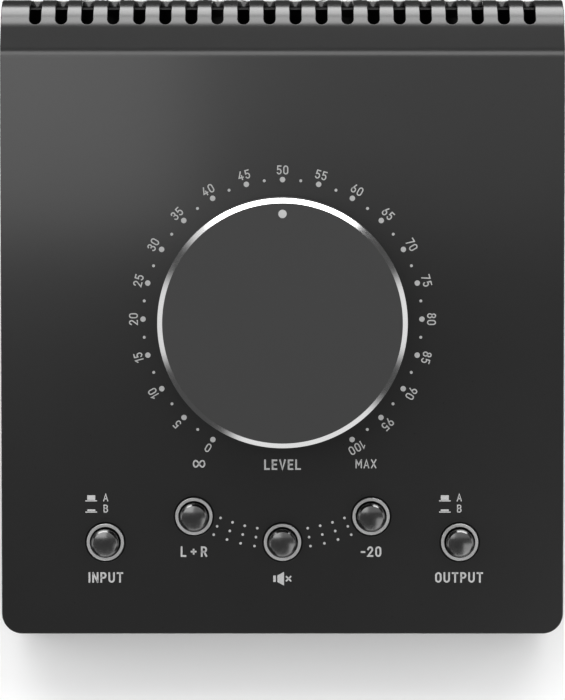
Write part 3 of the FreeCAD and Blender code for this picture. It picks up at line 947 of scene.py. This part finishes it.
# Letters as pen strokes, one unit high
strokes = {
    "0": [tallRing(0.5)],
    "1": [[(0, 0.74), (0.25, 1), (0.25, 0)]],
    "2": [bow(0.24, 0.74, 0.24, 0.26, 175, -30) + [(0, 0), (0.5, 0)]],
    "3": [bow(0.23, 0.77, 0.22, 0.23, 160, -90) + [(0.16, 0.54)], bow(0.23, 0.27, 0.25, 0.27, 90, -160)],
    "4": [[(0.34, 1), (0, 0.26), (0.54, 0.26)], [(0.38, 0.5), (0.38, 0)]],
    "5": [[(0.46, 1), (0.06, 1), (0.04, 0.56)] + bow(0.23, 0.31, 0.25, 0.31, 118, -150)],
    "6": [ringPath(0.25, 0.29, 0.25, 0.29), [(0.02, 0.4), (0.3, 1)]],
    "7": [[(0, 1), (0.48, 1), (0.17, 0)]],
    "8": [ringPath(0.25, 0.77, 0.22, 0.23), ringPath(0.25, 0.27, 0.25, 0.27)],
    "9": [ringPath(0.25, 0.71, 0.25, 0.29), [(0.48, 0.6), (0.2, 0)]],
    "A": [[(0, 0), (0.29, 1), (0.58, 0)], [(0.1, 0.3), (0.48, 0.3)]],
    "B": [
        [(0, 0), (0, 1)] + bow(0.25, 0.77, 0.22, 0.23, 90, -90) + [(0, 0.54)],
        bow(0.26, 0.27, 0.24, 0.27, 90, -90) + [(0, 0)],
    ],
    "E": [[(0.44, 1), (0, 1), (0, 0), (0.44, 0)], [(0, 0.52), (0.38, 0.52)]],
    "I": [[(0, 0), (0, 1)]],
    "L": [[(0, 1), (0, 0), (0.44, 0)]],
    "M": [[(0, 0), (0, 1)], [(0, 1), (0.33, 0.34), (0.66, 1)], [(0.66, 1), (0.66, 0)]],
    "N": [[(0, 0), (0, 1)], [(0, 1), (0.52, 0)], [(0.52, 0), (0.52, 1)]],
    "O": [tallRing(0.54)],
    "P": [[(0, 0), (0, 1)] + bow(0.26, 0.73, 0.24, 0.27, 90, -90) + [(0, 0.46)]],
    "R": [[(0, 0), (0, 1)] + bow(0.26, 0.74, 0.24, 0.26, 90, -90) + [(0, 0.48)], [(0.26, 0.48), (0.52, 0)]],
    "T": [[(0, 1), (0.54, 1)], [(0.27, 1), (0.27, 0)]],
    "U": [[(0, 1)] + bow(0.27, 0.29, 0.27, 0.29, 180, 360) + [(0.54, 1)]],
    "V": [[(0, 1), (0.28, 0), (0.56, 1)]],
    "X": [[(0, 0), (0.54, 1)], [(0, 1), (0.54, 0)]],
    "+": [[(0, 0.5), (0.46, 0.5)], [(0.23, 0.27), (0.23, 0.73)]],
    "-": [[(0, 0.46), (0.32, 0.46)]],
}


def penRow(build, point, side):
    # the four corners of a stroke's section, side being half its width to the left
    spots = [(*(point + side * a), printHalf * b) for a, b in penCorners]
    return [build.verts.new(spot) for spot in spots]


def stroke(build, path, pen):
    # a flat closed strip of the pen's width along a path, its corners mitred
    closed = math.dist(path[0], path[-1]) < 0.001
    points = [Vector(point) for point in (path[:-1] if closed else path)]
    count = len(points)
    rows = []
    for index, point in enumerate(points):
        before = points[index - 1] if closed or index else None
        after = points[(index + 1) % count] if closed or index < count - 1 else None
        into = (point - before).normalized() if before is not None else None
        out = (after - point).normalized() if after is not None else None
        into = into or out
        out = out or into
        side = Vector((-into.y - out.y, into.x + out.x)).normalized()
        reach = pen / 2 / max(side.dot(Vector((-out.y, out.x))), 0.5)
        if before is None:
            point = point - out * pen / 2
        if after is None:
            point = point + into * pen / 2
        rows.append(penRow(build, point, side * reach))
    skin(build, rows, closed)
    if not closed:
        build.faces.new(reversed(rows[0]))
        build.faces.new(rows[-1])


def printedText(text, height, weight=printed["pen"]):
    pen = height * weight
    scale = height - pen
    step = pen + height * printed["gap"]
    build = bmesh.new()
    x = 0.0
    for letter in text:
        if letter == " ":
            x += height * printed["space"]
            continue
        for path in strokes[letter]:
            stroke(build, [(x + a * scale, b * scale - scale / 2) for a, b in path], pen)
        x += max(a for path in strokes[letter] for a, _ in path) * scale + step
    bmesh.ops.translate(build, verts=build.verts, vec=(-(x - step) / 2, 0, 0))
    return meshOf(build, "printed")


def joined(meshes):
    build = bmesh.new()
    for mesh in meshes:
        build.from_mesh(mesh)
    return meshOf(build, "joined", False)


def printPiece(name, meshes):
    mesh = joined(meshes)
    mesh.transform(Matrix.Diagonal((mm, mm, mm, 1)))
    mesh.transform(onPanel(0, 0, printHalf - printed["sunk"]))
    asPiece(name, mesh, ink, "case", level=False)


def dialNumbers():
    made = []
    for step in range(printed["dialCount"]):
        mesh = printedText(str(5 * step), printed["numberHeight"])
        turn = math.radians(printed["dialStep"] * step + printed["dialFirst"])
        place = Matrix.Translation((0, panel["dialU"], 0)) @ Matrix.Rotation(-turn, 4, "Z")
        mesh.transform(place @ Matrix.Translation((0, printed["numberRadius"], 0)))
        made.append(mesh)
    return made


def dotRow(name, count, radius, first, step, dot):
    return dotArc.mesh(name, {
        "Count": count, "Radius": radius * mm, "First": first, "Step": step,
        "Dot": dot * mm, "Thickness": printed["thickness"] * mm, "Material": ink,
    })


def dialDots():
    count, first, step = sizes(printed, "dialCount", "dialFirst", "dialStep")
    for name, dots, start, dot in (
        ("dialDots", count, first, printed["bigDot"]),
        ("dialSteps", count - 1, first + step / 2, printed["smallDot"]),
    ):
        mesh = dotRow(name, dots, printed["dialRadius"], start, step, dot)
        mesh.transform(onPanel(0, panel["dialU"], printHalf - printed["sunk"]))
        asPiece(name, mesh, ink, "case")


trail = {
    "centre": 61.8,
    "radii": (37.7, 39.8, 41.9),
    "angles": (8.9, 4.48),
    "count": 4,
    "dot": 0.3,
}


def dotTrails():
    first, step = trail["angles"]
    mesh = joined([
        dotRow("trail", trail["count"], radius, 180 - side * first, -side * step, trail["dot"])
        for radius in trail["radii"] for side in (1, -1)
    ])
    mesh.transform(onPanel(0, trail["centre"], printHalf - printed["sunk"]))
    asPiece("buttonTrails", mesh, ink, "case")


def flatShape(outline):
    # a thin closed plate from an outline of (x, u) points, in mm
    build = bmesh.new()
    top, low = ([build.verts.new((x, y, h)) for x, y in outline] for h in (printHalf, -printHalf))
    build.faces.new(top)
    build.faces.new(reversed(low))
    skin(build, [top, low])
    return meshOf(build, "flat")


def bar(x, u, width, height, turn=0.0):
    mesh = flatShape([(width / 2 * a, height / 2 * b) for a, b in ((-1, -1), (1, -1), (1, 1), (-1, 1))])
    mesh.transform(Matrix.Translation((x, u, 0)) @ Matrix.Rotation(math.radians(turn), 4, "Z"))
    return mesh


def placedText(text, x, u, height=printed["wordHeight"], weight=printed["wordPen"]):
    mesh = printedText(text, height, weight)
    mesh.transform(Matrix.Translation((x, u, 0)))
    return mesh


# The endless sign: a figure of eight on its side
endless = {"halfWidth": 1.28, "rise": 2.05, "halfPen": 0.17, "steps": 64}


def onEndless(turn):
    squash = 1 + math.sin(turn) ** 2
    across = endless["halfWidth"] * math.cos(turn) / squash
    return Vector((across, endless["rise"] * math.sin(turn) * math.cos(turn) / squash))


def endlessMark(x, u):
    build = bmesh.new()
    rows = []
    for step in range(endless["steps"]):
        turn = math.tau * step / endless["steps"]
        spot = onEndless(turn)
        run = onEndless(turn + 0.01) - spot
        side = Vector((-run.y, run.x)).normalized() * endless["halfPen"]
        rows.append(penRow(build, spot + Vector((x, u)), side))
    skin(build, rows, True)
    return meshOf(build, "endless")


# Words: x and u of their middles
words = {
    "LEVEL": (0, 39.3),
    "L + R": (-20.5, 19.1),
    "-20": (20.5, 19.1),
    "INPUT": (-40.9, 13.1),
    "OUTPUT": (40.9, 13.1),
}
dialEnd = {"x": 19.3, "u": 39.5}
# Switch marks: a letter and a key, up or down, over a base line
switchMark = {
    "x": 40.9,
    "letters": {"A": (31.7, 1.1), "B": (29.1, 0.42)},
    "left": 3.35,
    "down": 0.8,
    "base": (2.7, 0.25),
    "keyLift": 0.2,
    "keyWidth": 1.85,
}
# Mute mark: a loudspeaker's box and horn, and a cross
muted = {
    "u": 12.8,
    "box": (-1.85, 0.6, 1.5),
    "horn": ((-1.2, 0.75), (0.35, 1.6)),
    "cross": (1.4, 0.36, 1.7),
}


def panelWords():
    made = [placedText(word, *place) for word, place in words.items()]
    made.append(endlessMark(-dialEnd["x"], dialEnd["u"]))
    made.append(placedText("MAX", dialEnd["x"], dialEnd["u"], printed["maxHeight"], printed["pen"]))
    return made


def switchMarks():
    made = []
    for side in (-switchMark["x"], switchMark["x"]):
        for letter, (u, height) in switchMark["letters"].items():
            made.append(placedText(letter, side, u, printed["letterHeight"], printed["pen"]))
            x = side - switchMark["left"]
            base = u - switchMark["down"]
            key = base + switchMark["keyLift"] + height / 2
            made += [bar(x, base, *switchMark["base"]), bar(x, key, switchMark["keyWidth"], height)]
    return made


def muteMark():
    u, (x, width, height), horn, (crossX, pen, arm) = sizes(muted, "u", "box", "horn", "cross")
    (back, low), (mouth, wide) = horn
    horn = flatShape([(back, u - low), (mouth, u - wide), (mouth, u + wide), (back, u + low)])
    return [bar(x, u, width, height), horn, *(bar(crossX, u, pen, arm, turn) for turn in (45, -45))]


printPiece("dialNumbers", dialNumbers())
dialDots()
dotTrails()
printPiece("panelWords", panelWords())
printPiece("switchMarks", switchMarks())
printPiece("muteMark", muteMark())
print("print made")

# Underside: feet and screws
foot = {
    "radius": 6.0,
    "height": 3.0,
    "lean": 0.7,
    "hollow": 2.2,
    "hollowDepth": 0.8,
    "edge": 0.5,
    "edgeSteps": 4,
    "steps": 64,
    "crease": 40,
}


def makeFeet():
    outline = rounded([
        (0, foot["hollowDepth"]),
        (foot["hollow"], foot["hollowDepth"]),
        (foot["hollow"], 0),
        (foot["radius"] - foot["lean"], 0),
        (foot["radius"], foot["height"]),
        (0, foot["height"]),
    ], foot["edge"], foot["edgeSteps"])
    mesh = turned(outline, foot["steps"])
    low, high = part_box("front_left_foot")
    farLow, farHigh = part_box("rear_right_foot")
    width = (farLow.x - low.x) / mm
    depth = (farLow.y - low.y) / mm
    whole = repeated("rubberFeet", mesh, 2, 2, width, depth, finishes["foot_rubber"])
    whole.transform(Matrix.Translation(((low.x + farHigh.x) / 2, (low.y + farHigh.y) / 2, 0)))
    shade(whole, foot["crease"])
    nodes = [f"{end}_{side}_foot" for end in ("front", "rear") for side in ("left", "right")]
    asPiece("rubberFeet", whole, None, "case", nodes)


makeFeet()
print("feet made")

# Underside: pan-head screws with a cross recess
baseScrew = {
    "head": 2.8,
    "lean": 0.5,
    "height": 1.9,
    "shank": 1.45,
    "arm": 1.3,
    "slot": 0.34,
    "recess": 0.9,
    "tucked": 0.6,
    "edge": 0.15,
    "edgeHeight": 0.12,
    "steps": 40,
    "crease": 30,
}


def crossHead():
    face = baseScrew["head"] - baseScrew["lean"]
    a, b = sizes(baseScrew, "arm", "slot")
    cross = [(a, -b), (a, b), (b, b), (b, a), (-b, a), (-b, b)]
    cross += [(-x, -y) for x, y in cross]
    build = bmesh.new()

    def ring(radius, height):
        return vertsAt(build, circle(radius, baseScrew["steps"]), height)

    low = -baseScrew["height"]
    front = [ring(face - baseScrew["edge"], low), vertsAt(build, cross, low)]
    sunk = vertsAt(build, cross, low + baseScrew["recess"])
    skin(build, [front[1], sunk])
    build.faces.new(sunk)
    side = [front[0], ring(face, low + baseScrew["edgeHeight"]), ring(baseScrew["head"], 0)]
    side += [ring(baseScrew["shank"], 0), ring(baseScrew["shank"], baseScrew["tucked"])]
    skin(build, side)
    build.faces.new(side[-1])
    edges = [build.edges.get(pair) for row in front for pair in zip(row, row[1:] + row[:1])]
    bmesh.ops.triangle_fill(build, edges=edges, use_beauty=True)
    return meshOf(build, "crossHead")


def makeBaseScrews():
    low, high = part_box("base_screws")
    reach = baseScrew["head"] * 2 * mm
    width = (high.x - low.x - reach) / mm
    depth = (high.y - low.y - reach) / mm
    whole = repeated("baseScrews", crossHead(), 2, 2, width, depth, finishes["screw_steel"])
    middle = (low + high) / 2
    middle.z = low.z + baseScrew["height"] * mm
    whole.transform(Matrix.Translation(middle))
    shade(whole, baseScrew["crease"])
    asPiece("baseScrews", whole, None, "case", ["base_screws"])


makeBaseScrews()
print("base screws made")

# Rear: threaded sockets with their nuts and washers
socket = {
    "bore": 3.25,
    "nose": 4.75,
    "out": 4.0,
    "boreLength": 29.0,
    "thread": 0.22,
    "pitch": 0.8,
    "threadEnd": -1.2,
    "back": 1.5,
    "washer": 6.8,
    "washerThickness": 0.6,
    "washerEdge": 0.12,
    "washerFit": 0.2,
    "mouth": 0.5,
    "lip": 0.15,
    "front": 0.4,
    "root": 0.3,
    "fit": 0.05,
    "nutFlats": 12.7,
    "nutHeight": 2.4,
    "nutFlank": 0.75,
    "nutCorner": 0.25,
    "nutLead": 0.35,
    "nutSteps": 96,
    "steps": 64,
    "crease": 26,
}


def nutMesh():
    # hexagon with its corners turned off on the outer face, round the threaded bore
    build = bmesh.new()
    steps, top, flank, corner, lead = sizes(socket, "nutSteps", "nutHeight", "nutFlank", "nutCorner", "nutLead")
    half = socket["nutFlats"] / 2
    bore = socket["nose"] + socket["fit"]
    turns = [math.tau * step / steps for step in range(steps)]
    flats = [half / math.cos((turn + math.pi / 6) % (math.pi / 3) - math.pi / 6) for turn in turns]
    wide = max(flats)
    rows = []
    outside = (0.0, wide), (top - flank, wide), (top - corner, half + corner), (top, half - corner)
    for height, limit in outside:
        reach = [(min(flat, limit), turn) for flat, turn in zip(flats, turns)]
        spots = [(radius * math.cos(turn), radius * math.sin(turn)) for radius, turn in reach]
        rows.append(vertsAt(build, spots, height))
    for height, radius in ((top, bore + lead), (top - lead, bore), (0.0, bore)):
        rows.append(vertsAt(build, circle(radius, steps), height))
    skin(build, rows, True)
    return meshOf(build, "nut")


def noseMesh():
    # socket nose: plug bore, rounded mouth and threaded outside
    bore, nose, out, mouth, lip, front = sizes(socket, "bore", "nose", "out", "mouth", "lip", "front")
    thread, pitch, low, back = sizes(socket, "thread", "pitch", "threadEnd", "back")
    root = nose - socket["root"]
    deep = out - socket["boreLength"]
    outline = [(0, deep), (bore, deep), (bore, out - mouth), (bore + lip, out - lip), (bore + mouth, out)]
    outline += [(nose - front, out), (nose - lip, out - lip)]
    height = out - mouth
    while height > low:
        outline += [(nose, height), (nose - thread, height - pitch / 2)]
        height -= pitch
    outline += [(root, low), (root, deep - back), (0, deep - back)]
    return turned(outline, socket["steps"])


def washerMesh():
    t, edge, outer = sizes(socket, "washerThickness", "washerEdge", "washer")
    hole = socket["nose"] + socket["washerFit"]
    outline = [(hole, 0), (outer, 0), (outer, t - edge), (outer - edge, t), (hole + edge, t), (hole, t - edge)]
    return turned(outline, socket["steps"])


def makeSockets():
    low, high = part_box("input_a_left_jack")
    farLow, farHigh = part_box("output_b_right_jack")
    wall = high.y - socket["out"] * mm
    middle = Vector(((low.x + farHigh.x) / 2, wall, (low.z + farHigh.z) / 2))
    width = (farLow.x - low.x) / mm
    depth = (farLow.z - low.z) / mm
    upright = Matrix.Translation(middle) @ Matrix.Rotation(-math.pi / 2, 4, "X")
    ways = [f"{way}_{pair}" for way in ("input", "output") for pair in "ab"]
    jacks = [f"{way}_{side}_jack" for way in ways for side in ("left", "right")]
    for name, mesh, slotName, lift, nodes in (
        ("socketNoses", noseMesh(), "jack_plastic", 0.0, jacks),
        ("socketWashers", washerMesh(), "nut_nickel", 0.0, ["jack_washers"]),
        ("socketNuts", nutMesh(), "nut_nickel", socket["washerThickness"], ["jack_nuts"]),
    ):
        whole = repeated(name, mesh, 4, 2, width, depth, finishes[slotName])
        whole.transform(upright @ Matrix.Translation((0, 0, lift * mm)))
        shade(whole, socket["crease"])
        asPiece(name, whole, None, "case", nodes)


makeSockets()
print("sockets made")

# Floor, world and lamps
studio = {
    "floor": 0.95,
    "floorReach": 6.0,
    "lampHeight": 0.45,
    "gap": 0.07,
    "middle": 0.13,
    "zenith": 0.11,
    # boards round the object: middle and half width clockwise from the back, low and high, brightness
    "boards": [
        (0, 37, -16, 13, 4.9),
        (0, 37, 13, 20, 2.0),
        (0, 37, 20, 40, 4.4),
        (90, 18, -25, 30, 0.85),
        (168, 36, -30, 30, 0.85),
        (-91, 19, -25, 30, 0.8),
        (-45, 6, -25, 30, 0.8),
        (178, 122, 30, 46, 2.5),
    ],
    "boardFades": (6, 4, 5),
    "middleFrom": (30, 44),
    "zenithFrom": (56, 70),
}
# each lamp looks straight down: x, y, width, depth, power
lamps = {
    "topLamp": (-0.28, 0.01, 0.5, 0.14, 0.3),
    "ridgeLamp": (0, 0.145, 1.0, 0.11, 0.75),
    "sideLamp": (0.23, 0.015, 0.52, 0.15, 0.08),
    "frontLamp": (0.33, -0.34, 0.42, 0.36, 0.4),
}


def makeFloor():
    mesh = bpy.data.meshes.new("floor")
    reach = studio["floorReach"]
    corners = [(x * reach, y * reach, 0) for x, y in ((-1, -1), (1, -1), (1, 1), (-1, 1))]
    mesh.from_pydata(corners, [], [(0, 1, 2, 3)])
    floor = inScene("floor", mesh)
    made = Finish("floorPaper")
    speck = made.noise(40, 2)
    colour = made.blend(speck, grey(studio["floor"] - 0.01), grey(studio["floor"]))
    made.wear(colour=colour, rough=0.7, specular=0.2)
    mesh.materials.append(made.material)
    floor.visible_glossy = False


def makeWorld():
    world = bpy.data.worlds.new("studio")
    bpy.context.scene.world = world
    world.use_nodes = True
    tree = world.node_tree
    for node in list(tree.nodes):
        tree.nodes.remove(node)
    sky = Finish("studio", tree)
    place = sky.node("ShaderNodeTexCoord", output=0)
    split = sky.nodes.new("ShaderNodeSeparateXYZ")
    sky.links.new(place.socket, split.inputs[0])
    x, y, z = (Val(sky, socket) for socket in split.outputs)
    turn = x.maths("ARCTAN2", y) * math.degrees(1)
    height = z.maths("ARCSINE") * math.degrees(1)
    sideFade, lowFade, highFade = studio["boardFades"]
    level = None
    for middle, half, low, high, bright in studio["boards"]:
        away = ((turn - middle + 540).maths("MODULO", 360) - 180).maths("ABSOLUTE")
        across = sky.soft(away, half + sideFade, half - sideFade)
        up = sky.soft(height, low - lowFade, low + lowFade) * sky.soft(height, high + highFade, high - highFade)
        board = across * up * (bright - studio["gap"])
        level = board if level is None else level + board
    middleSky = sky.soft(height, *studio["middleFrom"]) * (studio["middle"] - studio["gap"])
    topSky = sky.soft(height, *studio["zenithFrom"]) * (studio["zenith"] - studio["middle"])
    level = level + studio["gap"] + middleSky + topSky
    path = sky.nodes.new("ShaderNodeLightPath")
    seen = Val(sky, path.outputs["Is Camera Ray"])
    strength = seen + (1 - seen) * level
    background = sky.nodes.new("ShaderNodeBackground")
    background.inputs[0].default_value = (1, 1, 1, 1)
    sky.links.new(strength.socket, background.inputs[1])
    output = sky.nodes.new("ShaderNodeOutputWorld")
    sky.links.new(background.outputs[0], output.inputs[0])


def softLamp(name, x, y, width, depth, power):
    data = bpy.data.lights.new(name, "AREA")
    data.shape = "RECTANGLE"
    data.size = width
    data.size_y = depth
    data.energy = power
    lamp = inScene(name, data)
    lamp.location = (x, y, studio["lampHeight"])
    lamp.visible_camera = False


makeFloor()
makeWorld()
for name, lamp in lamps.items():
    softLamp(name, *lamp)

bpy.context.scene.view_settings.view_transform = "Standard"
print("studio made")
